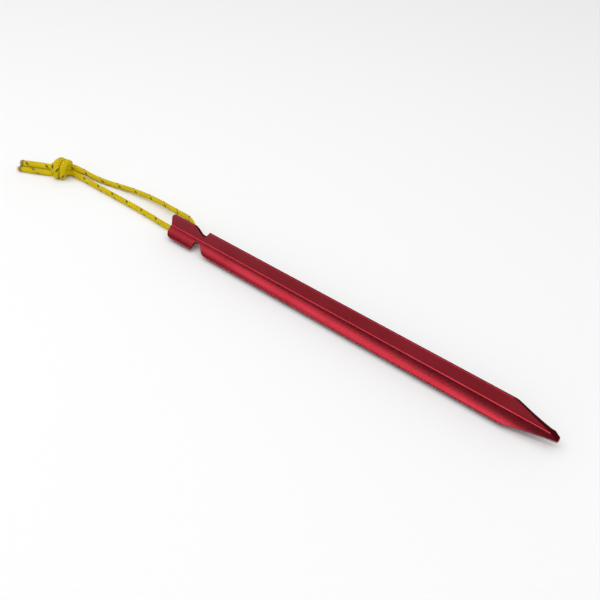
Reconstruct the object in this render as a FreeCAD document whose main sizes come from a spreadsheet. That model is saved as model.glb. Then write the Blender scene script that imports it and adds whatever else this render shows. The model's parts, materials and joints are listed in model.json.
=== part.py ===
import FreeCAD, Part
import math
import os

import Sketcher
from FreeCAD import Placement, Rotation, Vector

# A three-finned ground stake with a knotted pull cord through the eyelet of one fin.
# Frame: +X runs along the stake from its head to its tip, +Z is up, and the origin is
# on the section's axis at the head end. The stake lies on two fins with the third
# upright. The fins are called top, near (towards -Y) and far (towards +Y).

DIMENSIONS = {
    # the extruded body
    "stake_length": 180.0,
    "fin_reach": 6.2,
    "fin_edge_thickness": 0.9,
    "fin_root_thickness": 2.0,
    "fin_face_hollow_radius": 28.0,
    "valley_radius": 1.0,
    "cutter_width": 4.0,
    "cutter_clearance": 1.0,
    # the tip, ground a little off centre: its nose sits towards the near fin
    "top_taper_start": 160.3,
    "top_taper_angle": 24.5,
    "top_nose_reach": -0.35,
    "near_taper_start": 159.5,
    "near_taper_angle": 15.9,
    "near_nose_reach": 2.2,
    "far_taper_start": 160.0,
    "far_taper_angle": 21.0,
    "far_nose_reach": 0.6,
    "taper_blend_radius": 11.6,
    "taper_hollow_radius": 126.0,
    "nose_radius": 0.6,
    # the head
    "side_corner_radius": 3.4,
    "top_corner_radius": 2.6,
    # the hooked notch of the near and far fins, which opens towards the tip
    "hook_mouth": 15.2,
    "hook_mouth_radius": 0.5,
    "hook_foot": 15.2,
    "hook_floor": 1.9,
    "hook_floor_end": 17.45,
    "hook_floor_radius": 1.3,
    "hook_slope": 45.0,
    "hook_blend_radius": 5.1,
    # the notch of the top fin, which opens towards the head
    "crest_mouth": 22.0,
    "crest_mouth_radius": 0.7,
    "crest_foot": 20.85,
    "crest_floor": 2.95,
    "crest_floor_end": 18.6,
    "crest_floor_radius": 1.3,
    "crest_slope": 45.0,
    "crest_blend_radius": 5.3,
    # the cord's eyelet in the far fin
    "eyelet_position": 9.5,
    "eyelet_reach": 3.6,
    "eyelet_radius": 1.6,
    "eyelet_rim_radius": 0.15,
    # the cord: a braided sheath round a core
    "cord_radius": 1.25,
    "core_radius": 0.65,
    "core_clearance": 0.03,
    "core_show": 0.35,
    "cord_rest_height": -3.55,
    "cord_bend_radius": 1.55,
    "cord_bend_start": 0.6,
    "upper_spread": 0.5,
    "lower_spread": -0.1,
    # the loop the cord makes behind the head
    "bight_end": -1.0,
    "root_start": -5.6,
    "root_end": -9.8,
    "leg_start": -11.3,
    "leg_end": -69.6,
    # the knot and its two tails
    "knot_position": -75.0,
    "knot_side": -2.2,
    "knot_height": -0.3,
    "knot_turn": 43.0,
    "knot_length": 8.8,
    "knot_radius": 4.45,
    "knot_wraps": 3.0,
}

# Points on the cord's centre line, from the eyelet end outwards: the place along X, the
# place along Y and the height above the line of a cord that lies on the ground.
CORD_POINTS = {
    "upper_leg": [
        (4.2, 6.7, 3.9),
        (-4.7, 8.9, 3.1),
        (-22.4, 10.9, 1.35),
        (-42.0, 9.5, 0.35),
        (-58.8, 6.1, 0.1),
        (-67.2, 4.6, 1.1),
        (-71.2, 3.6, 1.75),
    ],
    "lower_leg": [
        (4.2, 1.4, 0.0),
        (-4.0, 0.8, 0.0),
        (-14.3, 1.15, 0.0),
        (-44.8, 1.5, 0.0),
        (-71.2, 1.5, 0.0),
    ],
    "upper_tail": [(-81.3, -4.5, 2.05), (-87.0, -7.5, 2.05), (-94.6, -12.1, 2.05)],
    "lower_tail": [(-80.4, -6.4, 0.0), (-88.7, -11.1, 0.0), (-94.3, -13.9, 0.0)],
}

FIN_TURNS = {"top": 0.0, "near": 120.0, "far": -120.0}
EYELET_BEND_TURNS = (0.0, 45.0, 90.0)
BISECTIONS = 60

cells = dict(DIMENSIONS)
for path, points in CORD_POINTS.items():
    for number, point in enumerate(points, start=1):
        for axis, value in zip("xyz", point):
            cells[f"{path}_{number}_{axis}"] = value

doc = FreeCAD.newDocument("tent_stake")
sheet = doc.addObject("Spreadsheet::Sheet", "Sheet")
for row, (alias, value) in enumerate(cells.items(), start=1):
    sheet.set(f"A{row}", alias.replace("_", " "))
    sheet.set(f"B{row}", str(value))
    sheet.setAlias(f"B{row}", alias)
doc.recompute()

subparts = []


def measure(expression):
    """The number an expression on the sheet's cells comes to."""
    return float(sheet.evalExpression(expression))


def subpart(item, node):
    """Give a finished object the name of its node."""
    item.Label = node
    subparts.append(item)
    return item


# ---------------------------------------------------------------- sketches


def origin_feature(body, role):
    """One of a body's own origin planes or axes."""
    return next(item for item in body.Origin.OriginFeatures if item.Role == role)


def arc_geometry(start, end, radius, left):
    """The shorter arc from start to end, its centre to the left or right of the way."""
    way = end.sub(start)
    middle = start.add(end).multiply(0.5)
    offset = math.sqrt(max(radius**2 - (way.Length / 2) ** 2, 0.0))
    across = Vector(-way.y, way.x, 0).normalize().multiply(offset if left else -offset)
    centre = middle.add(across)
    first, last = (start, end) if left else (end, start)
    first_angle = math.atan2(first.y - centre.y, first.x - centre.x)
    last_angle = math.atan2(last.y - centre.y, last.x - centre.x)
    if last_angle < first_angle:
        last_angle += 2 * math.pi
    circle = Part.Circle(centre, Vector(0, 0, 1), radius)
    return Part.ArcOfCircle(circle, first_angle, last_angle)


def drive(sketch, kind, geometry, expression):
    """Add a constraint whose value follows an expression on the sheet."""
    value = measure(expression)
    constraint = sketch.addConstraint(Sketcher.Constraint(kind, *geometry, value))
    sketch.setExpression(f"Constraints[{constraint}]", expression)


def draw_outline(sketch, corners, arcs):
    """Draw a closed outline whose corners and arc radii follow the sheet.

    corners holds an (x, y) pair of expressions for each corner. arcs maps the number of
    the corner where an arc starts to its radius and whether it bends to the left.
    """
    points = [Vector(measure(x), measure(y), 0) for x, y in corners]
    sides = []
    for index, start in enumerate(points):
        end = points[(index + 1) % len(points)]
        radius, left = arcs.get(index, (None, True))
        if radius is None:
            line = sketch.addGeometry(Part.LineSegment(start, end), False)
            sides.append((line, 1, 2))
            continue
        arc = sketch.addGeometry(arc_geometry(start, end, measure(radius), left), False)
        sides.append((arc, 1, 2) if left else (arc, 2, 1))
        drive(sketch, "Radius", (arc,), radius)
    for index, (side, _, last) in enumerate(sides):
        following, first, _ = sides[(index + 1) % len(sides)]
        sketch.addConstraint(Sketcher.Constraint("Coincident", side, last, following, first))
    for (side, first, _), (x, y) in zip(sides, corners):
        drive(sketch, "DistanceX", (-1, 1, side, first), x)
        drive(sketch, "DistanceY", (-1, 1, side, first), y)


def fin_sketch(body, name, fin):
    """An empty sketch in a fin's middle plane: x along the stake, y out along the fin."""
    sketch = body.newObject("Sketcher::SketchObject", name + "_sketch")
    sketch.AttachmentSupport = [(origin_feature(body, "XZ_Plane"), "")]
    sketch.MapMode = "FlatFace"
    turn = Rotation(Vector(1, 0, 0), FIN_TURNS[fin])
    sketch.AttachmentOffset = Placement(Vector(), turn)
    return sketch


def pocket_fin(body, name, sketch):
    """Pocket a sketch through its fin, and check that metal came away."""
    doc.recompute()
    before = body.Shape.Volume
    pocket = body.newObject("PartDesign::Pocket", name)
    pocket.Profile = sketch
    pocket.SideType = "Symmetric"
    pocket.setExpression("Length", "Sheet.cutter_width")
    doc.recompute()
    if not body.Shape.Volume < before:
        raise RuntimeError(f"{name} cuts nothing")
    return pocket


def cut_outline(body, name, fin, corners, arcs):
    """Pocket a closed outline through one fin."""
    sketch = fin_sketch(body, name, fin)
    draw_outline(sketch, corners, arcs)
    return pocket_fin(body, name, sketch)


def round_edges(body, name, base, picked, radius):
    """Round the edges of base that picked accepts, by a radius from the sheet."""
    edges = enumerate(base.Shape.Edges, start=1)
    names = [f"Edge{number}" for number, edge in edges if picked(edge)]
    fillet = body.newObject("PartDesign::Fillet", name)
    fillet.Base = (base, names)
    fillet.setExpression("Radius", radius)
    doc.recompute()
    return fillet


def three_times(body, name, feature):
    """Repeat a feature on all three fins."""
    pattern = body.newObject("PartDesign::PolarPattern", name)
    pattern.Originals = [feature]
    pattern.Axis = (origin_feature(body, "X_Axis"), [""])
    pattern.Angle = 360
    pattern.Occurrences = len(FIN_TURNS)
    body.Tip = pattern
    doc.recompute()
    return pattern


# ---------------------------------------------------------------- the stake body


def extrude_section(body):
    """The long three-finned bar: one fin with hollow faces and a round edge, three times."""
    sketch = body.newObject("Sketcher::SketchObject", "fin_section")
    sketch.AttachmentSupport = [(origin_feature(body, "YZ_Plane"), "")]
    sketch.MapMode = "FlatFace"
    root_half = "Sheet.fin_root_thickness / 2"
    root_rise = f"{root_half} / tan(60)"
    edge_half = "Sheet.fin_edge_thickness / 2"
    edge_rise = f"Sheet.fin_reach - {edge_half}"
    corners = [
        (root_half, root_rise),
        (edge_half, edge_rise),
        ("0", "Sheet.fin_reach"),
        (f"-{edge_half}", edge_rise),
        (f"-{root_half}", root_rise),
        ("0", f"-{root_half} / 2"),
    ]
    face = ("Sheet.fin_face_hollow_radius", False)
    arcs = {0: face, 1: (edge_half, True), 2: (edge_half, True), 3: face}
    draw_outline(sketch, corners, arcs)
    fin = body.newObject("PartDesign::Pad", "fin")
    fin.Profile = sketch
    fin.setExpression("Length", "Sheet.stake_length")
    doc.recompute()
    bar = three_times(body, "three_fins", fin)

    def in_valley(edge):
        centre = edge.CenterOfMass
        reach = math.hypot(centre.y, centre.z)
        return edge.Length > measure("Sheet.stake_length / 2") and reach < measure(
            "Sheet.fin_root_thickness"
        )

    round_edges(body, "valleys", bar, in_valley, "Sheet.valley_radius")


def taper_fin(body, fin):
    """The hollow taper that brings one fin down to the nose."""
    start = f"Sheet.{fin}_taper_start"
    angle = f"Sheet.{fin}_taper_angle"
    nose_reach = f"Sheet.{fin}_nose_reach"
    blend_end = f"{start} + Sheet.taper_blend_radius * sin({angle})"
    blend_drop = f"Sheet.taper_blend_radius * (1 - cos({angle}))"
    clear_reach = "Sheet.fin_reach + Sheet.cutter_clearance"
    clear_length = "Sheet.stake_length + Sheet.cutter_clearance"
    corners = [
        (start, clear_reach),
        (start, "Sheet.fin_reach"),
        (blend_end, f"Sheet.fin_reach - {blend_drop}"),
        ("Sheet.stake_length - Sheet.nose_radius", nose_reach),
        ("Sheet.stake_length", f"{nose_reach} - Sheet.nose_radius"),
        (clear_length, f"{nose_reach} - Sheet.nose_radius"),
        (clear_length, clear_reach),
    ]
    arcs = {
        1: ("Sheet.taper_blend_radius", False),
        2: ("Sheet.taper_hollow_radius", True),
        3: ("Sheet.nose_radius", False),
    }
    cut_outline(body, f"{fin}_taper", fin, corners, arcs)


def round_head_corner(body, fin, radius):
    """The round corner where a fin's edge meets the head end."""
    outside = "-Sheet.cutter_clearance"
    clear_reach = "Sheet.fin_reach + Sheet.cutter_clearance"
    corners = [
        (outside, clear_reach),
        (outside, f"Sheet.fin_reach - {radius}"),
        ("0", f"Sheet.fin_reach - {radius}"),
        (radius, "Sheet.fin_reach"),
        (radius, clear_reach),
    ]
    cut_outline(body, f"{fin}_head_corner", fin, corners, {2: (radius, False)})


def cut_notch(body, fin, kind, way):
    """A guy-line notch: a steep wall, a round floor and a long slope out.

    kind picks the notch's cells. way is +1 where the slope runs out towards the tip and
    -1 where it runs out towards the head.
    """
    cells = f"Sheet.{kind}"
    lip = f"{cells}_mouth_radius"
    floor_radius = f"{cells}_floor_radius"
    blend_radius = f"{cells}_blend_radius"
    sine = f"sin({cells}_slope)"
    versine = f"(1 - cos({cells}_slope))"
    lip_start = f"{cells}_mouth - {way} * {lip}"
    clear_reach = "Sheet.fin_reach + Sheet.cutter_clearance"
    slope_start = f"{cells}_floor_end + {way} * {floor_radius} * {sine}"
    slope_start_reach = f"{cells}_floor + {floor_radius} * {versine}"
    slope_end_reach = f"Sheet.fin_reach - {blend_radius} * {versine}"
    slope_rise = f"({slope_end_reach} - ({slope_start_reach}))"
    slope_end = f"{slope_start} + {way} * {slope_rise} / tan({cells}_slope)"
    lead = f"{slope_end} + {way} * {blend_radius} * {sine}"
    corners = [
        (lip_start, clear_reach),
        (lip_start, "Sheet.fin_reach"),
        (f"{cells}_mouth", f"Sheet.fin_reach - {lip}"),
        (f"{cells}_foot", f"{cells}_floor + {floor_radius}"),
        (f"{cells}_foot + {way} * {floor_radius}", f"{cells}_floor"),
        (f"{cells}_floor_end", f"{cells}_floor"),
        (slope_start, slope_start_reach),
        (slope_end, slope_end_reach),
        (lead, "Sheet.fin_reach"),
        (lead, clear_reach),
    ]
    hollow = way > 0
    arcs = {
        1: (lip, not hollow),
        3: (floor_radius, hollow),
        5: (floor_radius, hollow),
        7: (blend_radius, not hollow),
    }
    cut_outline(body, f"{fin}_notch", fin, corners, arcs)


def drill_eyelet(body):
    """The round eyelet through the far fin, with eased rims for the cord."""
    sketch = fin_sketch(body, "eyelet", "far")
    place = Vector(measure("Sheet.eyelet_position"), measure("Sheet.eyelet_reach"), 0)
    radius = measure("Sheet.eyelet_radius")
    circle = sketch.addGeometry(Part.Circle(place, Vector(0, 0, 1), radius), False)
    drive(sketch, "Radius", (circle,), "Sheet.eyelet_radius")
    drive(sketch, "DistanceX", (-1, 1, circle, 3), "Sheet.eyelet_position")
    drive(sketch, "DistanceY", (-1, 1, circle, 3), "Sheet.eyelet_reach")
    eyelet = pocket_fin(body, "eyelet", sketch)
    centre = eyelet_centre()

    def on_rim(edge):
        away = edge.CenterOfMass.sub(centre).Length
        return away < measure("Sheet.fin_root_thickness") and edge.Closed

    round_edges(body, "eyelet_rims", eyelet, on_rim, "Sheet.eyelet_rim_radius")


def make_stake_body():
    """The whole stake, one piece of metal."""
    body = doc.addObject("PartDesign::Body", "stake_body")
    extrude_section(body)
    for fin, radius in (
        ("top", "Sheet.top_corner_radius"),
        ("near", "Sheet.side_corner_radius"),
        ("far", "Sheet.side_corner_radius"),
    ):
        round_head_corner(body, fin, radius)
    cut_notch(body, "top", "crest", -1)
    cut_notch(body, "near", "hook", 1)
    cut_notch(body, "far", "hook", 1)
    drill_eyelet(body)
    for fin in FIN_TURNS:
        taper_fin(body, fin)
    return subpart(body, "stake_body")


# ---------------------------------------------------------------- the cord's path

FAR_FIN = Rotation(Vector(1, 0, 0), FIN_TURNS["far"])
FAR_OUT = FAR_FIN.multVec(Vector(0, 0, 1))
FAR_NORMAL = FAR_FIN.multVec(Vector(0, 1, 0)).multiply(-1)


def eyelet_centre():
    """The middle of the eyelet, in the far fin's middle plane."""
    along = Vector(measure("Sheet.eyelet_position"), 0, 0)
    return along.add(Vector(FAR_OUT).multiply(measure("Sheet.eyelet_reach")))


def from_eyelet(back, out, above):
    """A point by its way back towards the head, out along the far fin and above it."""
    shift = Vector(-back, 0, 0)
    shift = shift.add(Vector(FAR_OUT).multiply(out))
    return eyelet_centre().add(shift.add(Vector(FAR_NORMAL).multiply(above)))


def eyelet_bend(side, spread):
    """Three points of the round bend from the eyelet back towards the head.

    side is +1 above the fin and -1 below it, and spread is how far out the cord leans.
    """
    radius = measure("Sheet.cord_bend_radius")
    points = []
    for turn in EYELET_BEND_TURNS:
        angle = math.radians(turn)
        back = radius * (1 - math.cos(angle))
        above = measure("Sheet.cord_bend_start") + radius * math.sin(angle)
        points.append(from_eyelet(back, back * spread, side * above))
    return points


def cord_points(path):
    """A path's points from the sheet, at their real height."""
    points = []
    for number in range(1, len(CORD_POINTS[path]) + 1):
        cell = f"Sheet.{path}_{number}"
        height = measure(f"Sheet.cord_rest_height + {cell}_z")
        points.append(Vector(measure(f"{cell}_x"), measure(f"{cell}_y"), height))
    return points


def loop_path():
    """The loop's centre line: upper leg, eyelet, lower leg, from knot to knot."""
    above = eyelet_bend(1, measure("Sheet.upper_spread"))
    below = eyelet_bend(-1, measure("Sheet.lower_spread"))
    upper = cord_points("upper_leg")[::-1] + above[::-1]
    lower = below + cord_points("lower_leg")
    curve = Part.BSplineCurve()
    curve.interpolate(upper + [eyelet_centre()] + lower)
    return curve


def crossing(curve, x, upper):
    """The parameter where the loop's upper or lower leg crosses a plane of constant x."""
    middle = curve.parameter(eyelet_centre())
    low, high = (curve.FirstParameter, middle) if upper else (middle, curve.LastParameter)
    for _ in range(BISECTIONS):
        centre = (low + high) / 2
        beyond = curve.value(centre).x < x
        if beyond == upper:
            low = centre
        else:
            high = centre
    return (low + high) / 2


def knot_centre():
    """The middle of the knot."""
    names = ("knot_position", "knot_side", "knot_height")
    return Vector(*(measure(f"Sheet.{name}") for name in names))


def tail_path(side):
    """A tail's centre line, from just outside the knot to its cut end."""
    curve = Part.BSplineCurve()
    curve.interpolate(cord_points(f"{side}_tail"))
    return curve


# ---------------------------------------------------------------- the cord's solids


def sweep_round(name, curve, first, last, radius):
    """A solid round cord of a radius from the sheet, along part of a curve."""
    path = doc.addObject("Part::Feature", name + "_path")
    path.Shape = Part.Edge(curve, first, last)
    ring = doc.addObject("Part::Circle", name + "_ring")
    ring.setExpression("Radius", radius)
    facing = Rotation(Vector(0, 0, 1), curve.tangent(first)[0])
    ring.Placement = Placement(curve.value(first), facing)
    sweep = doc.addObject("Part::Sweep", name)
    sweep.Sections = [ring]
    sweep.Spine = (path, ["Edge1"])
    sweep.Solid = True
    doc.recompute()
    return sweep


def make_section(place, curve, first, last, ball=False, cut_end=False):
    """One stretch of cord: a hollow sheath with its core inside.

    ball rounds the end that turns in a hinge. cut_end lets the core show past the end.
    """
    inset = measure("Sheet.core_show") * (1 if last > first else -1)
    outer = sweep_round(f"{place}_outer", curve, first, last, "Sheet.cord_radius")
    if ball:
        cap = doc.addObject("Part::Sphere", f"{place}_ball")
        cap.setExpression("Radius", "Sheet.cord_radius")
        cap.Placement = Placement(curve.value(first), Rotation())
        joined = doc.addObject("Part::Fuse", f"{place}_rounded")
        joined.Base = outer
        joined.Tool = cap
        outer = joined
    channel_radius = "Sheet.core_radius + Sheet.core_clearance"
    channel = sweep_round(f"{place}_channel", curve, first, last, channel_radius)
    sheath = doc.addObject("Part::Cut", f"{place}_sheath")
    sheath.Base = outer
    sheath.Tool = channel
    core_first = curve.parameterAtDistance(inset, first)
    core_last = curve.parameterAtDistance(inset if cut_end else -inset, last)
    core_last = min(core_last, curve.LastParameter)
    core = sweep_round(f"{place}_core", curve, core_first, core_last, "Sheet.core_radius")
    doc.recompute()
    subpart(sheath, f"cord_sheath_{place}")
    subpart(core, f"cord_core_{place}")


def make_loop():
    """The cord's loop: the bight in the eyelet, its two roots and its two legs."""
    curve = loop_path()

    def at(alias, upper):
        return crossing(curve, measure(f"Sheet.{alias}"), upper)

    make_section("bight", curve, at("bight_end", True), at("bight_end", False))
    for side, upper in (("upper", True), ("lower", False)):
        make_section(f"root_{side}", curve, at("root_start", upper), at("root_end", upper))
        leg = (at("leg_start", upper), at("leg_end", upper))
        make_section(f"leg_{side}", curve, *leg, ball=True)


def make_knot():
    """The doubled overhand knot, as a plain core with one ring for each wrap."""
    wraps = int(measure("Sheet.knot_wraps"))
    turn = Rotation(Vector(0, 0, 1), 180 + measure("Sheet.knot_turn"))
    facing = turn.multiply(Rotation(Vector(0, 0, 1), Vector(1, 0, 0)))
    axis = turn.multVec(Vector(1, 0, 0))
    core = doc.addObject("Part::Cylinder", "knot_core")
    core.setExpression("Radius", "Sheet.knot_radius - Sheet.cord_radius")
    core.setExpression("Height", "Sheet.knot_length")
    half = measure("Sheet.knot_length / 2")
    core.Placement = Placement(knot_centre().sub(Vector(axis).multiply(half)), facing)
    rings = []
    pitch = (measure("Sheet.knot_length") - 2 * measure("Sheet.cord_radius")) / (wraps - 1)
    for number in range(wraps):
        ring = doc.addObject("Part::Torus", f"knot_wrap_{number + 1}")
        ring.setExpression("Radius1", "Sheet.knot_radius - Sheet.cord_radius")
        ring.setExpression("Radius2", "Sheet.cord_radius")
        shift = (number - (wraps - 1) / 2) * pitch
        ring.Placement = Placement(knot_centre().add(Vector(axis).multiply(shift)), facing)
        rings.append(ring)
    knot = doc.addObject("Part::MultiFuse", "knot")
    knot.Shapes = [core, *rings]
    doc.recompute()
    return subpart(knot, "cord_knot")


def make_tails():
    """The two cut tails beyond the knot, with their cores showing."""
    for side in ("upper", "lower"):
        curve = tail_path(side)
        first = curve.FirstParameter
        sheath_length = curve.length() - measure("Sheet.core_show")
        last = curve.parameterAtDistance(sheath_length, first)
        make_section(f"tail_{side}", curve, first, last, ball=True, cut_end=True)


# ---------------------------------------------------------------- build and write

make_stake_body()
make_loop()
make_knot()
make_tails()
doc.recompute()

for item in doc.Objects:
    if {"Invalid", "Error"} & set(item.State):
        raise RuntimeError(f"{item.Label} did not compute: {item.State}")

os.makedirs("parts", exist_ok=True)
for item in subparts:
    shape = item.Shape
    if shape.isNull() or not shape.isValid() or len(shape.Solids) != 1:
        raise RuntimeError(f"{item.Label} is not one valid solid")
    shape.exportStep(f"parts/{item.Label}.step")
    print(item.Label, round(shape.Volume, 2), "mm3")
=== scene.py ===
"""The looks of a Y-beam tent stake with a braided pull cord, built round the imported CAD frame."""

import json
import math

import bpy
import numpy as np
from mathutils import Matrix, Vector


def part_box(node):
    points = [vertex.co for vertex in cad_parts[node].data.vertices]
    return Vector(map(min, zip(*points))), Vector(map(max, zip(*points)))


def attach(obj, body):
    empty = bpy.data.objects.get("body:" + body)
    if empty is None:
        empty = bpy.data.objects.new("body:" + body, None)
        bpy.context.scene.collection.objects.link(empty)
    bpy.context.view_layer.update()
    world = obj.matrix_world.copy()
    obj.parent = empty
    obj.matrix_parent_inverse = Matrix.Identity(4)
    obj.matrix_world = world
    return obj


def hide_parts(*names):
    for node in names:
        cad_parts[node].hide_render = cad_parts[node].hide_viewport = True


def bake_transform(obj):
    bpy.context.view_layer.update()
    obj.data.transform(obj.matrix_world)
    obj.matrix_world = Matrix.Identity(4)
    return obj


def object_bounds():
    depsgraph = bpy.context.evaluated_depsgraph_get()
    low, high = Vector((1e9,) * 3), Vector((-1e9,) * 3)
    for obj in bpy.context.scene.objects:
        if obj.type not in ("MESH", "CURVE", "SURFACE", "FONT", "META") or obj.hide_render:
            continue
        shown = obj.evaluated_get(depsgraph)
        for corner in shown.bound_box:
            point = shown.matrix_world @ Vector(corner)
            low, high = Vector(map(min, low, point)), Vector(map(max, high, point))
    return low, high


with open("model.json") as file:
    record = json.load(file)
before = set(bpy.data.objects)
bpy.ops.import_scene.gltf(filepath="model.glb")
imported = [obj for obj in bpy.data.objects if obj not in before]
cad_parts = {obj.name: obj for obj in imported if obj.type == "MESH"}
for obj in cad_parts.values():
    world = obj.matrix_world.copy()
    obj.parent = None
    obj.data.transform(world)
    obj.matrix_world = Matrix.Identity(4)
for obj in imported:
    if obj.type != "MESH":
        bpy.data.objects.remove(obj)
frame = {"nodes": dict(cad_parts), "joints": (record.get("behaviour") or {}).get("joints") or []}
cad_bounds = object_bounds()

MM = 0.001  # the lengths below are in millimetres, and Blender's are in metres


# ---------------------------------------------------------------- sizes that come from the frame


def box_mm(node):
    """The lowest and highest corners of a CAD node, in millimetres."""
    low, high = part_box(node)
    return np.array(low) / MM, np.array(high) / MM


tail_low, tail_high = box_mm("cord_sheath_tail_lower")
core_low, core_high = box_mm("cord_core_tail_lower")

STAKE_LENGTH = box_mm("stake_body")[1][0]  # the origin is at the head, and the stake runs along X
CORD_RADIUS = (tail_high[2] - tail_low[2]) / 2  # the lower tail lies flat on the floor
CORE_RADIUS = (core_high[2] - core_low[2]) / 2
KNOT_CENTRE = sum(box_mm("cord_knot")) / 2
FLOOR_HEIGHT = cad_bounds[0][2] / MM

joints = {joint["name"]: joint for joint in frame["joints"]}


def joint_x(name):
    """How far along the stake a joint's axis stands."""
    return joints[name]["pos_m"][0] / MM


# ---------------------------------------------------------------- the braided cord's design

CARRIERS = 8  # strands of each of the braid's two families
BRAID_PITCH = 10.1  # one strand's way along the cord in one turn
WEAVE_REPEAT = 4  # a strand passes over two of the other family, then under two
WEAVE_DEPTH = 0.08  # how far a strand rises and dips as it passes over and under
STRAND_CROWN = 0.21  # how much a strand stands proud at its middle
TRACER_STRAND = 3  # which strand of the first family is dark
STEPS_PER_STRAND = 8  # mesh steps across a strand, both around the cord and along it
AROUND = STEPS_PER_STRAND * CARRIERS
RING_STEP = BRAID_PITCH / AROUND
KNOT_SWELL = 1.2  # how much thicker the cord is where the knot bends it
UPPER_TAIL_SWELL = 1.36  # the tails have loosened since they were cut
LOWER_TAIL_SWELL = 1.12
SWELL_FADE = 4.0  # the way over which the cord comes back to its own thickness


def unit(vector):
    """A vector, or each row of an array, at length one."""
    return vector / np.linalg.norm(vector, axis=-1, keepdims=True)


def side_of(heading):
    """A unit vector square to a heading."""
    side = np.cross(heading, (0.0, 0.0, 1.0))
    if np.linalg.norm(side) < 0.1:
        side = np.cross(heading, (0.0, 1.0, 0.0))
    return unit(side)


def along(points):
    """How far along a line each of its points is."""
    steps = np.linalg.norm(np.diff(points, axis=0), axis=1)
    return np.concatenate([[0.0], np.cumsum(steps)])


def resampled(points, count):
    """A line's points at equal steps."""
    length = along(points)
    wanted = np.linspace(0.0, length[-1], count)
    return np.stack([np.interp(wanted, length, points[:, axis]) for axis in range(3)], axis=1)


# ---------------------------------------------------------------- where the cord lies

TRACE_STEP = 0.4  # from one section of a core to the next
TRACE_LIMIT = 1000  # more sections than any core has
FEWEST_CUTS = 8  # a section that cuts fewer edges of the mesh is past the core's end
OWN_CUTS = 2.5  # cuts further off than this many core radii are of another bend of the core


def section_centre(edges, place, heading):
    """The middle of a core where a plane cuts it, or None past its end."""
    reach = (edges - place) @ heading
    crossing = reach[:, 0] * reach[:, 1] < 0
    share = reach[crossing, 0] / (reach[crossing, 0] - reach[crossing, 1])
    cuts = edges[crossing, 0] + share[:, None] * (edges[crossing, 1] - edges[crossing, 0])
    cuts = cuts[np.linalg.norm(cuts - place, axis=1) < OWN_CUTS * CORE_RADIUS]
    if len(cuts) < FEWEST_CUTS:
        return None
    side = side_of(heading)
    axes = np.stack([side, np.cross(heading, side)])
    flat = (cuts - place) @ axes.T
    return place + (flat.min(axis=0) + flat.max(axis=0)) / 2 @ axes


def centre_line(node, towards):
    """Points along the middle of a round core, from the end that lies furthest in a direction."""
    mesh = frame["nodes"][node].data
    corners = np.array([vertex.co for vertex in mesh.vertices]) / MM
    edges = corners[np.array([edge.vertices[:] for edge in mesh.edges])]
    towards = unit(np.array(towards, float))
    heading = -towards
    place = corners[np.argmax(corners @ towards)] + CORE_RADIUS * heading
    line = []
    while len(line) < TRACE_LIMIT:
        centre = section_centre(edges, place, heading)
        if centre is None:
            break
        if line:
            heading = unit(centre - line[-1])
        line.append(centre)
        place = centre + TRACE_STEP * heading
    return np.array(line[1:-1])


# ---------------------------------------------------------------- the overhand knot of two cords
# Lengths in this section are in cord diameters until the knot is placed.

KNOT_POINTS = 100  # along each of the two cords
OPEN_SPAN = 1.98  # how far the open knot's curve runs each way from its middle
OPEN_POINTS = 120
OPEN_GAP = 1.125  # between the two cords' middle lines before they are drawn tight
TIGHTEN_STEPS = 2200
PULLED_REACH = 9.17  # how far from the middle the cords' ends are pulled
PULLED_GAP = 1.04  # between the cords' middle lines at their pulled ends
STRAIGHTENING = 0.3  # a point's share of the way to its neighbours' middle, each step
SIDE_BY_SIDE = 1.02  # the cords are drawn together while they are further apart than this
DRAWING = 0.075  # each cord's share of that extra distance, each step
PUSHES = 3  # each step's rounds of pushing overlapping cords apart
NEIGHBOUR_REACH = 4 / 3  # along one cord, points this near may be closer than a diameter
KNOT_SIZE = 1.04  # the knot holds its cords a little apart
KNOT_STRETCH = 1.24  # along its own axis
KNOT_ROLL = math.radians(204)  # about its own axis
KNOT_TURN = math.radians(43)  # from the legs' line towards the near side
KNOT_DROP = 0.3746  # how far its axis falls for each step that it runs level
KNOT_MIDDLE = 2.5  # the knot's own part reaches this many diameters each way
KNOT_SHIFT = 0.6  # millimetres towards the tails
KNOT_SAG = 0.5  # millimetres that the knot settles onto the floor
LEG_SIDE_REACH = 0.8  # millimetres from the knot's middle to where its strands meet the legs' lines
TAIL_SIDE_REACH = 2.4  # and the tails' lines


def loose_knot():
    """The middle line of an open overhand knot, a well-known polynomial curve, pulled along X."""
    t = np.linspace(-OPEN_SPAN, OPEN_SPAN, OPEN_POINTS)
    line = np.stack([t**5 - 10 * t, 1.75 * (t**3 - 3 * t), 1.5 * (t**4 - 4 * t**2 + 1.5)], axis=1)
    return resampled(line, KNOT_POINTS)


def carried_sides(line, angle):
    """A vector square to a line at each point, turned by an angle at its start, without twist."""
    headings = unit(np.gradient(line, axis=0))
    first = unit(np.cross(headings[0], (0.0, 0.0, 1.0)))
    side = math.cos(angle) * first + math.sin(angle) * np.cross(headings[0], first)
    sides = []
    for heading in headings:
        side = unit(side - (side @ heading) * heading)
        sides.append(side)
    return np.array(sides)


def pushed_apart(points, strand, index, spacing):
    """How far each point has to move for the pairs that are closer than a diameter to part."""
    gaps = points[:, None] - points[None]
    distance = np.linalg.norm(gaps, axis=2) + 1e-9
    same = strand[:, None] == strand[None]
    neighbours = same & (np.abs(index[:, None] - index[None]) * spacing <= NEIGHBOUR_REACH)
    touching = (distance < 1.0) & ~neighbours
    push = np.where(touching, (1.0 - distance) / 2 / distance, 0.0)
    count = np.maximum(touching.sum(axis=1), 1)
    return (push[:, :, None] * gaps).sum(axis=1) / count[:, None]


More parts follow.
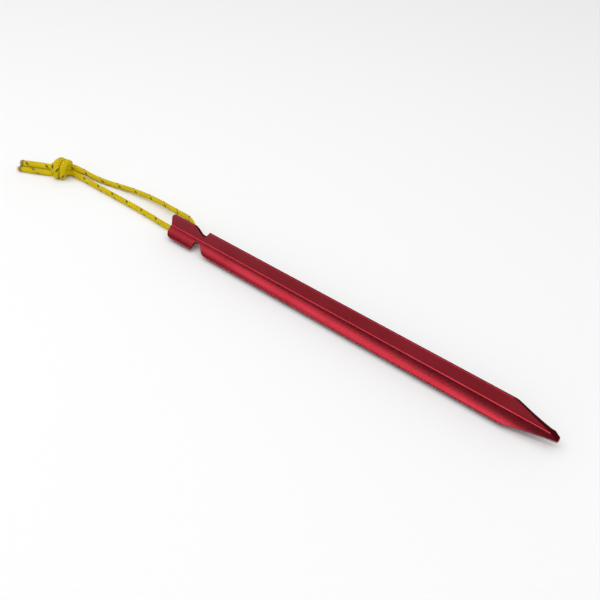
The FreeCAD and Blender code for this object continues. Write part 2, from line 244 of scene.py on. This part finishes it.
def tight_knot():
    """Two cords side by side in one overhand knot, drawn tight by their ends."""
    line = loose_knot()
    sides = carried_sides(line, math.pi / 2)
    points = np.concatenate([line - OPEN_GAP / 2 * sides, line + OPEN_GAP / 2 * sides])
    strand = np.repeat([0, 1], KNOT_POINTS)
    index = np.tile(np.arange(KNOT_POINTS), 2)
    ends = np.array([0, KNOT_POINTS - 1, KNOT_POINTS, 2 * KNOT_POINTS - 1])
    free = np.setdiff1d(np.arange(2 * KNOT_POINTS), ends)
    across = sides[[0, -1]] * (0.0, 1.0, 1.0)
    offsets = PULLED_GAP / 2 * unit(across)
    pull = np.array([[-PULLED_REACH, 0.0, 0.0], [PULLED_REACH, 0.0, 0.0]])
    goals = np.concatenate([pull - offsets, pull + offsets])
    starts = points[ends]
    for step in range(TIGHTEN_STEPS):
        share = min(1.0, (step + 1) / (TIGHTEN_STEPS / 2))
        points[ends] = starts * (1 - share) + goals * share
        middle = (points[free - 1] + points[free + 1]) / 2
        points[free] += STRAIGHTENING * (middle - points[free])
        apart = points[:KNOT_POINTS] - points[KNOT_POINTS:]
        length = np.linalg.norm(apart, axis=1) + 1e-9
        draw = DRAWING * np.clip(length - SIDE_BY_SIDE, 0, None) / length
        draw[[0, -1]] = 0.0
        points[:KNOT_POINTS] -= draw[:, None] * apart
        points[KNOT_POINTS:] += draw[:, None] * apart
        spacing = along(points[:KNOT_POINTS])[-1] / (KNOT_POINTS - 1)
        for _ in range(PUSHES):
            points[free] += pushed_apart(points, strand, index, spacing)[free]
    return points


def placed_knot():
    """The tight knot's two cords in the stake's frame, from the legs' side to the tails' side."""
    points = tight_knot() * 2 * CORD_RADIUS * KNOT_SIZE * (KNOT_STRETCH, 1.0, 1.0)
    heading = unit(np.array([-math.cos(KNOT_TURN), -math.sin(KNOT_TURN), -KNOT_DROP]))
    side = unit(np.cross((0.0, 0.0, 1.0), heading))
    up = np.cross(heading, side)
    cosine, sine = math.cos(KNOT_ROLL), math.sin(KNOT_ROLL)
    axes = np.stack([heading, cosine * side + sine * up, cosine * up - sine * side])
    inside = np.abs(points[:, 0]) < KNOT_MIDDLE * 2 * CORD_RADIUS
    points = KNOT_CENTRE + KNOT_SHIFT * heading + (points - points[inside].mean(axis=0)) @ axes
    lowest = FLOOR_HEIGHT + CORD_RADIUS * KNOT_SWELL
    points[:, 2] = np.maximum(points[:, 2] - KNOT_SAG, lowest)
    return points[:KNOT_POINTS], points[KNOT_POINTS:], heading


# ---------------------------------------------------------------- the cord's whole way

LEG_LEAD = 4.0  # millimetres that the legs' straight lines run on into the knot
TAIL_LEAD = 2.2  # and the tails' lines
PATH_STEP = 0.1
PATH_SMOOTHING = 0.35  # the reach of the averaging that rounds off the joins


def bridged(first, second):
    """Two lines made one by a smooth curve from the end of the first to the start of the second."""
    gap = np.linalg.norm(second[0] - first[-1])
    leave = unit(first[-1] - first[-3]) * gap
    arrive = unit(second[2] - second[0]) * gap
    t = np.linspace(0, 1, max(int(gap / PATH_STEP), 2))[1:-1, None]
    curve = (
        (2 * t**3 - 3 * t**2 + 1) * first[-1]
        + (t**3 - 2 * t**2 + t) * leave
        + (3 * t**2 - 2 * t**3) * second[0]
        + (t**3 - t**2) * arrive
    )
    return np.concatenate([first, curve, second])


def smoothed(points, width):
    """A line of equal steps whose points are averaged with their neighbours."""
    reach = int(3 * width / PATH_STEP)
    weights = np.exp(-0.5 * (np.arange(-reach, reach + 1) * PATH_STEP / width) ** 2)
    weights /= weights.sum()
    before = 2 * points[0] - points[reach:0:-1]
    after = 2 * points[-1] - points[-2 : -reach - 2 : -1]
    padded = np.concatenate([before, points, after])
    return np.stack([np.convolve(padded[:, axis], weights, "valid") for axis in range(3)], axis=1)


def led_on(line, length):
    """A line with a straight stretch added before its first point."""
    heading = unit(line[0] - line[4])
    return np.concatenate([[line[0] + length * heading], line])


class Cord:
    """One cord from end to end: its places, headings and sides, by the distance along it."""

    def __init__(self, lines):
        points = lines[0]
        for line in lines[1:]:
            points = bridged(points, line)
        count = int(along(points)[-1] / PATH_STEP) + 1
        self.points = smoothed(resampled(points, count), PATH_SMOOTHING)
        self.length = along(self.points)
        self.sides = carried_sides(self.points, 0.0)
        self.headings = unit(np.gradient(self.points, axis=0))

    def at(self, distance):
        """The place, side and upward vectors at each distance along the cord."""
        place, side, heading = (
            np.stack([np.interp(distance, self.length, rows[:, axis]) for axis in range(3)], axis=1)
            for rows in (self.points, self.sides, self.headings)
        )
        side = unit(side - (side * heading).sum(axis=1, keepdims=True) * heading)
        return place, side, np.cross(unit(heading), side)

    def nearest(self, place):
        """The distance along the cord of its point nearest to a place."""
        return self.length[np.argmin(np.linalg.norm(self.points - place, axis=1))]

    def where_x(self, x, after):
        """The distance along the cord where it crosses x, before or after the eyelet."""
        in_half = (self.length > self.eyelet) == after
        return self.length[in_half][np.argmin(np.abs(self.points[in_half, 0] - x))]


def lay_cord():
    """The whole cord from the upper tail's cut end, through knot, legs and eyelet, and back."""
    lower_strand, upper_strand, heading = placed_knot()

    def in_knot(strand):
        onward = (strand - KNOT_CENTRE) @ heading
        first = np.flatnonzero(onward > -LEG_SIDE_REACH)[0]
        last = np.flatnonzero(onward < TAIL_SIDE_REACH)[-1]
        return strand[first : last + 1]

    upper_strand, lower_strand = in_knot(upper_strand), in_knot(lower_strand)
    upper_tail = centre_line("cord_core_tail_upper", (1, 0, 0))
    lower_tail = centre_line("cord_core_tail_lower", (1, 0, 0))
    upper_leg = centre_line("cord_core_leg_upper", (-1, 0, 0))
    lower_leg = centre_line("cord_core_leg_lower", (-1, 0, 0))
    cord = Cord(
        [
            led_on(upper_tail, TAIL_LEAD)[::-1],
            upper_strand[::-1],
            led_on(upper_leg, LEG_LEAD),
            centre_line("cord_core_root_upper", (-1, 0, 0)),
            centre_line("cord_core_bight", (-1, 0, 1)),
            centre_line("cord_core_root_lower", (1, 0, 0)),
            led_on(lower_leg, LEG_LEAD)[::-1],
            lower_strand,
            led_on(lower_tail, TAIL_LEAD),
        ]
    )
    cord.eyelet = cord.length[np.argmax(cord.points[:, 0])]
    cord.upper_exit = cord.nearest(upper_strand[-1])
    cord.lower_exit = cord.nearest(lower_strand[-1])
    cord.upper_entry = cord.nearest(upper_leg[0])
    cord.lower_entry = cord.nearest(lower_leg[0])
    return cord


cord = lay_cord()


# ---------------------------------------------------------------- braided pieces


def cord_radius_at(distance):
    """The cord's outer radius: more where the knot holds it bent, and on the cut tails."""
    swells = [
        (0.0, UPPER_TAIL_SWELL),
        (cord.upper_exit, KNOT_SWELL),
        (cord.upper_entry, KNOT_SWELL),
        (cord.upper_entry + SWELL_FADE, 1.0),
        (cord.lower_entry - SWELL_FADE, 1.0),
        (cord.lower_entry, KNOT_SWELL),
        (cord.lower_exit, KNOT_SWELL),
        (cord.lower_exit + SWELL_FADE, LOWER_TAIL_SWELL),
    ]
    return CORD_RADIUS * np.interp(distance, *zip(*swells))


def braid_surface(distance, angle):
    """How high the braid stands, where the tracer shows, and the place on the strand that shows."""
    first_way = CARRIERS * (distance / BRAID_PITCH - angle / math.tau)
    second_way = CARRIERS * (-distance / BRAID_PITCH - angle / math.tau)
    first, second = np.floor(first_way), np.floor(second_way)
    first_across, second_across = first_way - first, second_way - second

    def weave(count):
        return WEAVE_DEPTH * np.cos(math.tau * (count - 1) / WEAVE_REPEAT)

    def crown(across):
        return -STRAND_CROWN * (2 * across - 1) ** 2

    first_rise = weave(second_way + first) + crown(first_across)
    second_rise = -weave(first_way + second) + crown(second_across)
    first_shows = first_rise >= second_rise
    rise = np.maximum(first_rise, second_rise) - WEAVE_DEPTH
    tracer = first_shows & (first % CARRIERS == TRACER_STRAND)
    across = np.where(first_shows, first_across, second_across)
    lengthwise = np.where(first_shows, second_way, first_way)
    strand = np.where(first_shows, first % CARRIERS, CARRIERS + second % CARRIERS)
    return rise, tracer, across, lengthwise, strand


def tube(distance):
    """The braid's points, and their attributes, over a run of rings."""
    angle = np.arange(AROUND) * math.tau / AROUND
    ring, turn = np.meshgrid(distance, angle, indexing="ij")
    rise, tracer, across, lengthwise, strand = braid_surface(ring, turn)
    place, side, up = cord.at(distance)
    radius = cord_radius_at(distance)[:, None] + rise
    round_part = side[:, None] * np.cos(turn)[..., None] + up[:, None] * np.sin(turn)[..., None]
    points = place[:, None] + radius[..., None] * round_part
    return points, {
        "tracer": tracer.astype(float),
        "depth": -rise / (2 * WEAVE_DEPTH + STRAND_CROWN),
        "across": across,
        "lengthwise": lengthwise,
        "strand": strand,
        "from_end": np.minimum(ring, cord.length[-1] - ring),
    }


def ring_faces(rings, around, first=0):
    """Quads between neighbouring rings of points, the first point having a given number."""
    ring = np.arange(rings - 1)[:, None] * around
    here, after = np.arange(around), (np.arange(around) + 1) % around
    corners = [ring + here, ring + after, ring + around + after, ring + around + here]
    return (np.stack(corners, axis=-1) + first).reshape(-1, 4).tolist()


def end_faces(rings, around, first=0):
    """The two faces that close a run of rings."""
    last = first + (rings - 1) * around
    return [list(range(first + around - 1, first - 1, -1)), list(range(last, last + around))]


def facing_out(faces, forward):
    """Faces that look outwards, whether or not their rings run forward along the cord."""
    return faces if forward else [face[::-1] for face in faces]


def mesh_piece(name, points, faces):
    """A smooth object from points in millimetres."""
    mesh = bpy.data.meshes.new(name)
    mesh.from_pydata(points * MM, [], faces)
    mesh.shade_smooth()
    piece = bpy.data.objects.new(name, mesh)
    bpy.context.scene.collection.objects.link(piece)
    return piece


def braided_piece(name, runs, cut_end=False):
    """A mesh of one or more closed lengths of cord, which may end in a hollow cut end."""
    points, faces, caps, attributes, first = [], [], [], {}, 0
    for start, end in runs:
        count = max(int(abs(end - start) / RING_STEP), 2) + 1
        distance = np.linspace(start, end, count)
        grid, values = tube(distance)
        if cut_end:
            grid, values = with_cut_end(grid, values, distance)
        rings = len(grid)
        points.append(grid.reshape(-1, 3))
        faces += facing_out(ring_faces(rings, AROUND, first), start < end)
        caps += facing_out(end_faces(rings, AROUND, first), start < end)
        for key, value in values.items():
            attributes.setdefault(key, []).append(value.reshape(-1))
        first += rings * AROUND
    piece = mesh_piece(name, np.concatenate(points), faces + caps)
    for key, value in attributes.items():
        layer = piece.data.attributes.new(key, "FLOAT", "POINT")
        layer.data.foreach_set("value", np.concatenate(value).astype(np.float32))
    return piece


# The rings of a cut end, from its edge inwards: their size as a share of the cord's, how far
# into the cord they lie in millimetres, and how much painted shade they get inside the hollow end.
CUT_RINGS = (
    (0.93, -0.1, 0.0),
    (0.8, -0.12, 0.2),
    (0.66, -0.02, 0.6),
    (0.6, 0.25, 0.9),
    (0.58, 0.9, 1.0),
)


def with_cut_end(grid, values, distance):
    """The rings with the sheath's cut edge and its inner wall added at the last ring."""
    place = cord.at(distance[-2:])[0]
    inward = unit(place[0] - place[1])
    last = grid[-1] - place[1]
    rim = np.array([place[1] + last * size + inward * depth for size, depth, _ in CUT_RINGS])
    extended = {}
    for key, rows in values.items():
        extended[key] = np.concatenate([rows, np.repeat(rows[-1:], len(rim), axis=0)])
    # painted shade: the inner rings' depth is raised so that the hollow end's wall colours darker
    extended["depth"][-len(rim) :] += np.array([painted_shade for _, _, painted_shade in CUT_RINGS])[:, None]
    return np.concatenate([grid, rim]), extended


# ---------------------------------------------------------------- node helpers


def material_nodes(name):
    """A new material, its node tree and its Principled shader."""
    material = bpy.data.materials.new(name)
    material.use_nodes = True
    return material, material.node_tree, material.node_tree.nodes["Principled BSDF"]


def add(tree, kind, **inputs):
    """A new node with some of its inputs set, by name, to values or to other nodes' outputs."""
    node = tree.nodes.new(kind)
    for key, value in inputs.items():
        connect(tree, node.inputs[key.replace("_", " ")], value)
    return node


def connect(tree, socket, value):
    """Set an input to another node's output or to a value."""
    if isinstance(value, bpy.types.NodeSocket):
        tree.links.new(value, socket)
    else:
        socket.default_value = value


def maths(tree, operation, *values):
    """The output of a Math node."""
    node = tree.nodes.new("ShaderNodeMath")
    node.operation = operation
    for socket, value in zip(node.inputs, values):
        connect(tree, socket, value)
    return node.outputs[0]


def attribute(tree, name):
    """A number that the mesh holds at each point."""
    node = tree.nodes.new("ShaderNodeAttribute")
    node.attribute_name = name
    return node.outputs["Fac"]


def mixed(tree, share, first, second, how="MIX"):
    """A mix of two colours, or another way of joining them."""
    node = tree.nodes.new("ShaderNodeMix")
    node.data_type = "RGBA"
    node.blend_type = how
    connect(tree, node.inputs[0], share)
    connect(tree, node.inputs[6], first)
    connect(tree, node.inputs[7], second)
    return node.outputs[2]


def ranged(tree, value, low, high, to_low=0.0, to_high=1.0):
    """A value moved from one range to another, smoothly and held at its ends."""
    node = tree.nodes.new("ShaderNodeMapRange")
    node.interpolation_type = "SMOOTHSTEP"
    connect(tree, node.inputs[0], value)
    for socket, number in zip(node.inputs[1:5], (low, high, to_low, to_high)):
        connect(tree, socket, number)
    return node.outputs[0]


def tinted(tree, share, colour, tint):
    """A colour times a tint where the share is nought, and itself where it is one."""
    return mixed(tree, share, mixed(tree, 1.0, colour, tint, "MULTIPLY"), colour)


def noise(tree, vector, scale, detail=2.0, roughness=0.5):
    """Smooth random values, with a number of lumps to each unit of the vector."""
    sizes = {"Scale": scale, "Detail": detail, "Roughness": roughness}
    return add(tree, "ShaderNodeTexNoise", Vector=vector, **sizes).outputs["Fac"]


def scaled(tree, vector, factors):
    """A vector multiplied part by part."""
    node = tree.nodes.new("ShaderNodeVectorMath")
    node.operation = "MULTIPLY"
    connect(tree, node.inputs[0], vector)
    node.inputs[1].default_value = factors
    return node.outputs[0]


def combined(tree, *values):
    """A vector made of three values."""
    node = tree.nodes.new("ShaderNodeCombineXYZ")
    for socket, value in zip(node.inputs, values):
        connect(tree, socket, value)
    return node.outputs[0]


def object_place(tree):
    """A point's place in the object's own frame, in metres."""
    return tree.nodes.new("ShaderNodeTexCoord").outputs["Object"]


def bumped(tree, height, strength, distance, normal=None):
    """A normal that leans with the slope of a height."""
    node = add(tree, "ShaderNodeBump", Height=height, Strength=strength, Distance=distance)
    if normal is not None:
        tree.links.new(normal, node.inputs["Normal"])
    return node.outputs[0]


# ---------------------------------------------------------------- materials


LIGHT_YELLOW = (0.90, 0.72, 0.0008, 1)
DEEP_YELLOW = (0.82, 0.635, 0.0004, 1)
FIBRE_TINT = (0.82, 0.78, 0.7, 1)
PAINTED_HOLLOW_SHADE = (0.20, 0.13, 0.0005, 1)
DARK_TRACER = (0.05, 0.055, 0.035, 1)
LIGHT_TRACER = (0.11, 0.115, 0.08, 1)
SCORCHED = (0.085, 0.065, 0.025, 1)
MELTED = (0.42, 0.32, 0.10, 1)


def braid_material():
    """Yellow fibre with one dark tracer strand, painted shade in the braid's crevices and inside its
    cut ends, and scorched, melted fibre at those ends.
    """
    material, tree, shader = material_nodes("braided_yellow")
    across, lengthwise = attribute(tree, "across"), attribute(tree, "lengthwise")
    strand, from_end = attribute(tree, "strand"), attribute(tree, "from_end")
    fibre_place = combined(
        tree,
        maths(tree, "MULTIPLY", across, 9.0),
        maths(tree, "MULTIPLY", lengthwise, 0.9),
        maths(tree, "MULTIPLY", strand, 7.3),
    )
    fibres = noise(tree, fibre_place, 1.0, detail=3.0)
    patches = noise(tree, object_place(tree), 260.0)
    yellow = mixed(tree, ranged(tree, patches, 0.3, 0.7), DEEP_YELLOW, LIGHT_YELLOW)
    yellow = tinted(tree, ranged(tree, fibres, 0.35, 0.75), yellow, FIBRE_TINT)
    # painted shade: the deeper a point lies in a crevice or inside a cut end, the darker its colour
    yellow = mixed(tree, ranged(tree, attribute(tree, "depth"), 0.08, 0.62), yellow, PAINTED_HOLLOW_SHADE)
    dark = mixed(tree, ranged(tree, fibres, 0.4, 0.7), DARK_TRACER, LIGHT_TRACER)
    colour = mixed(tree, attribute(tree, "tracer"), yellow, dark)
    colour = mixed(tree, ranged(tree, from_end, 1.1, 2.0, 0.85, 0.0), colour, SCORCHED)
    colour = mixed(tree, ranged(tree, from_end, 0.7, 1.1, 0.8, 0.0), colour, MELTED)
    connect(tree, shader.inputs["Base Color"], colour)
    connect(tree, shader.inputs["Roughness"], ranged(tree, fibres, 0.3, 0.8, 0.62, 0.42))
    shader.inputs["Specular IOR Level"].default_value = 0.08
    connect(tree, shader.inputs["Normal"], bumped(tree, fibres, 0.5, 0.08 * MM))
    return material


SHADED_CREAM = (0.48, 0.42, 0.28, 1)
LIGHT_CREAM = (0.90, 0.86, 0.70, 1)


def core_material():
    """Cream filaments with shade between them."""
    material, tree, shader = material_nodes("cream_fibre")
    filament_place = scaled(tree, object_place(tree), (0.6, 2.0, 2.0))
    filaments = noise(tree, filament_place, 2200.0, detail=3.0)
    colour = mixed(tree, ranged(tree, filaments, 0.35, 0.65), SHADED_CREAM, LIGHT_CREAM)
    connect(tree, shader.inputs["Base Color"], colour)
    shader.inputs["Roughness"].default_value = 0.8
    shader.inputs["Sheen Weight"].default_value = 0.3
    connect(tree, shader.inputs["Normal"], bumped(tree, filaments, 0.6, 0.1 * MM))
    return material


DEEP_RED = (0.215, 0.0100, 0.0170, 1)
LIGHT_RED = (0.245, 0.0130, 0.0225, 1)
STREAK_TINT = (0.9, 0.85, 0.87, 1)
EDGE_ROUNDING = 0.12  # millimetres by which the metal's edges look eased


def metal_material():
    """Red anodised aluminium: extruded streaks under a fine blasted grain."""
    material, tree, shader = material_nodes("anodised_red")
    place = object_place(tree)
    streaks = noise(tree, scaled(tree, place, (0.012, 1.0, 1.0)), 2600.0, detail=3.0)
    grain = noise(tree, place, 5200.0, roughness=0.7)
    cloud = noise(tree, place, 70.0)
    red = mixed(tree, ranged(tree, cloud, 0.3, 0.7), DEEP_RED, LIGHT_RED)
    red = tinted(tree, ranged(tree, streaks, 0.3, 0.7), red, STREAK_TINT)
    connect(tree, shader.inputs["Base Color"], red)
    shader.inputs["Metallic"].default_value = 1.0
    grain_roughness = ranged(tree, grain, 0.3, 0.7, 0.17, 0.24)
    streak_roughness = ranged(tree, streaks, 0.3, 0.7, -0.02, 0.03)
    roughness = maths(tree, "ADD", grain_roughness, streak_roughness)
    connect(tree, shader.inputs["Roughness"], roughness)
    edge = add(tree, "ShaderNodeBevel", Radius=EDGE_ROUNDING * MM)
    edge.samples = 4
    height = maths(tree, "ADD", maths(tree, "MULTIPLY", grain, 0.6), streaks)
    connect(tree, shader.inputs["Normal"], bumped(tree, height, 0.16, 0.03 * MM, edge.outputs[0]))
    shader.inputs["Coat Weight"].default_value = 0.12
    shader.inputs["Coat Roughness"].default_value = 0.25
    return material


def floor_material():
    """Smooth pale paper with a faint tooth."""
    material, tree, shader = material_nodes("pale_floor")
    tooth = noise(tree, object_place(tree), 900.0)
    colour = mixed(tree, tooth, (0.9, 0.9, 0.9, 1), (0.93, 0.93, 0.93, 1))
    connect(tree, shader.inputs["Base Color"], colour)
    shader.inputs["Roughness"].default_value = 0.9
    shader.inputs["Specular IOR Level"].default_value = 0.1
    return material


# ---------------------------------------------------------------- the cord's pieces

ROOT_CUT = -0.6  # where the bight meets the legs, from the middle between their joints
LEG_CUT_X = -40.0  # where the legs' piece meets the knotted one, far from any joint
CORE_RINGS = 40
CORE_AROUND = 56
CORE_BUNDLES = 7  # coarse lumps around the core
CORE_FILAMENTS = 19  # and fine ones on them
CORE_HIDDEN = 3.0  # millimetres of the core inside the sheath
UPPER_CORE_PROUD = 0.7  # millimetres that each core stands out of its sheath
LOWER_CORE_PROUD = 1.3
FLARE = 0.3  # how much wider the core spreads outside the sheath
DOME_DEPTH = 0.4  # the last stretch of the core, which rounds off
DOME_SLOPE = 0.45  # the length in which it would round off to nothing
BLUNT_END = 0.12  # the least share of its width that is left
TUFT_DEPTH = 0.12  # how far the end's bundles stand in front of each other

braid = braid_material()
cream = core_material()


def finish_piece(piece, material, replaced):
    """A piece's material and slot, and the CAD nodes that it stands for."""
    piece.data.materials.append(material)
    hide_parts(*replaced)


def bend_at(piece):
    """The piece's place is baked into its mesh."""
    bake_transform(piece)


def cord_nodes(*parts):
    """The CAD nodes of both layers of some parts of the cord."""
    return [f"cord_{layer}_{part}" for layer in ("sheath", "core") for part in parts]


def make_loop():
    """The bight in the eyelet, the two legs, and the two cords through the knot."""
    root_x = (joint_x("loop_sway") + joint_x("loop_lift")) / 2 + ROOT_CUT
    upper_root, lower_root = (cord.where_x(root_x, after) for after in (False, True))
    upper_leg, lower_leg = (cord.where_x(LEG_CUT_X, after) for after in (False, True))
    bight = braided_piece("cord_bight", [(upper_root, lower_root)])
    finish_piece(bight, braid, cord_nodes("bight", "root_upper", "root_lower"))
    bend_at(bight)
    legs = braided_piece("cord_legs", [(upper_leg, upper_root), (lower_root, lower_leg)])
    finish_piece(legs, braid, cord_nodes("leg_upper", "leg_lower"))
    bend_at(legs)
    knot = braided_piece("cord_knotted", [(cord.upper_exit, upper_leg), (lower_leg, cord.lower_exit)])
    finish_piece(knot, braid, ["cord_knot"])
    bend_at(knot)


def make_tail(side, start, end):
    """One tail's sheath from inside the knot to its cut end."""
    piece = braided_piece(f"cord_tail_{side}", [(start, end)], cut_end=True)
    finish_piece(piece, braid, [f"cord_sheath_tail_{side}"])
    bend_at(piece)


def core_ring(distance, proud, angle):
    """The radius of the lumpy core at each angle, at a distance out of the sheath."""
    bundles = 0.14 * np.cos(CORE_BUNDLES * angle + 2.2 * distance)
    filaments = 0.05 * np.cos(CORE_FILAMENTS * angle - 1.3 * distance)
    into_dome = max(0.0, distance - proud + DOME_DEPTH) / DOME_SLOPE
    dome = math.sqrt(max(0.0, 1 - into_dome**2))
    flare = 1 + FLARE * min(1.0, max(0.0, distance / proud))
    return CORE_RADIUS * flare * (1 + bundles + filaments) * max(dome, BLUNT_END)


def make_core(side, end, inward, proud):
    """The frayed end of the core, standing a little out of the sheath's cut end."""
    places, sides, ups = cord.at(np.array([end, end + 0.2 * inward]))
    heading = unit(places[0] - places[1])
    angle = np.arange(CORE_AROUND) * math.tau / CORE_AROUND
    outward = sides[0] * np.cos(angle)[:, None] + ups[0] * np.sin(angle)[:, None]
    points = []
    for share in np.linspace(0.0, 1.0, CORE_RINGS):
        distance = -CORE_HIDDEN + (CORE_HIDDEN + proud) * share
        tuft = TUFT_DEPTH * 10 * max(0.0, share - 0.9) * np.cos(5 * angle + 1.0)
        radius = core_ring(distance, proud, angle)
        points.append(places[0] + heading * (distance + tuft)[:, None] + outward * radius[:, None])
    faces = ring_faces(CORE_RINGS, CORE_AROUND) + end_faces(CORE_RINGS, CORE_AROUND)
    faces = facing_out(faces, inward < 0)
    piece = mesh_piece(f"fibre_core_{side}", np.concatenate(points), faces)
    finish_piece(piece, cream, [f"cord_core_tail_{side}"])
    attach(piece, f"{side}_tail")


make_loop()
make_tail("upper", cord.upper_exit, 0.0)
make_tail("lower", cord.lower_exit, cord.length[-1])
make_core("upper", 0.0, 1, UPPER_CORE_PROUD)
make_core("lower", cord.length[-1], -1, LOWER_CORE_PROUD)


# ---------------------------------------------------------------- the stake

metal = metal_material()
for slot in frame["nodes"]["stake_body"].material_slots:
    slot.material = metal


# ---------------------------------------------------------------- floor, light and camera


FLOOR_REACH = 30  # from its middle to its edges, in stake lengths
FLOOR_GAP = 0.02  # millimetres under the cord's lowest point
ROOM_BRIGHTNESS = 0.78
NEAR_ROOM_MIRRORED = 0.18  # how bright polished surfaces see the room on the camera's side
FAR_ROOM_MIRRORED = 0.2

CAMERA_AZIMUTH = math.radians(35.4)
CAMERA_ELEVATION = math.radians(39.6)
CAMERA_ROLL = math.radians(4.614)
CAMERA_AIM = np.array([0.4083, -0.0156, 0.0]) * STAKE_LENGTH
CAMERA_DISTANCE = 1.5224 * STAKE_LENGTH


def make_floor():
    """A wide pale floor under the lowest point of the cord."""
    width = 2 * FLOOR_REACH * STAKE_LENGTH * MM
    bpy.ops.mesh.primitive_grid_add(x_subdivisions=8, y_subdivisions=8, size=width)
    floor = bpy.context.object
    floor.name = "floor"
    floor.location = (STAKE_LENGTH / 2 * MM, 0, (FLOOR_HEIGHT - FLOOR_GAP) * MM)
    floor.data.materials.append(floor_material())


def soft_box(name, start, end, width, aim, brightness):
    """A softbox, in millimetres, whose middle line runs from start to end and that faces aim."""
    start, end, aim = Vector(start), Vector(end), Vector(aim)
    middle = (start + end) / 2
    long_side = (end - start).normalized()
    backward = middle - aim
    backward = (backward - backward.dot(long_side) * long_side).normalized()
    data = bpy.data.lights.new(name, "AREA")
    data.shape = "RECTANGLE"
    data.size, data.size_y = (end - start).length * MM, width * MM
    data.energy = brightness * math.pi * data.size * data.size_y
    light = bpy.data.objects.new(name, data)
    bpy.context.scene.collection.objects.link(light)
    short_side = backward.cross(long_side)
    light.rotation_euler = Matrix((long_side, short_side, backward)).transposed().to_euler()
    light.location = middle * MM
    return light


def make_lights():
    """Strips that the near fin and its crease mirror, one for the far side, and soft light."""
    middle = (STAKE_LENGTH / 2, 0, 0)
    soft_box("strip_light", (-430, -322, 600), (320, -182, 600), 100, middle, 4.3)
    soft_box("head_strip_light", (-700, -372, 600), (-430, -322, 600), 110, middle, 2.3)
    low = soft_box("low_light", (-520, -425, 190), (300, -575, 230), 240, middle, 4.2)
    low.visible_diffuse = False
    back = soft_box("back_light", (760, 260, 170), (520, 560, 170), 180, middle, 2.4)
    back.visible_diffuse = False
    overhead = soft_box("overhead_light", (-300, 100, 900), (500, 100, 900), 800, middle, 0.5)
    overhead.visible_glossy = False


def make_world():
    """A pale, even room that polished surfaces mirror as a dim one."""
    world = bpy.data.worlds.new("studio")
    world.use_nodes = True
    world.cycles.sampling_method = "NONE"
    tree = world.node_tree
    direction = tree.nodes.new("ShaderNodeTexCoord").outputs["Generated"]
    parts = tree.nodes.new("ShaderNodeSeparateXYZ")
    tree.links.new(direction, parts.inputs[0])
    mirrored = ranged(tree, parts.outputs["Y"], -0.6, 0.5, NEAR_ROOM_MIRRORED, FAR_ROOM_MIRRORED)
    glossy = tree.nodes.new("ShaderNodeLightPath").outputs["Is Glossy Ray"]
    room = maths(tree, "MULTIPLY", maths(tree, "SUBTRACT", 1.0, glossy), ROOM_BRIGHTNESS)
    strength = maths(tree, "ADD", room, maths(tree, "MULTIPLY", glossy, mirrored))
    connect(tree, tree.nodes["Background"].inputs["Strength"], strength)
    tree.nodes["Background"].inputs["Color"].default_value = (1, 1, 1, 1)
    bpy.context.scene.world = world


def make_camera():
    """A view down onto the stake from the tip's side, with the head at the far left."""
    backward = np.array(
        [
            math.sin(CAMERA_AZIMUTH) * math.cos(CAMERA_ELEVATION),
            -math.cos(CAMERA_AZIMUTH) * math.cos(CAMERA_ELEVATION),
            math.sin(CAMERA_ELEVATION),
        ]
    )
    data = bpy.data.cameras.new("camera")
    data.lens, data.sensor_width = 42.0, 36.0
    data.clip_start = 0.01
    camera = bpy.data.objects.new("camera", data)
    bpy.context.scene.collection.objects.link(camera)
    camera.location = Vector(CAMERA_AIM + CAMERA_DISTANCE * backward) * MM
    facing = Vector(-backward).to_track_quat("-Z", "Y").to_matrix()
    camera.rotation_euler = (facing @ Matrix.Rotation(CAMERA_ROLL, 3, "Z")).to_euler()
    bpy.context.scene.camera = camera


make_floor()
make_lights()
make_world()
make_camera()
bpy.context.scene.view_settings.view_transform = "Standard"
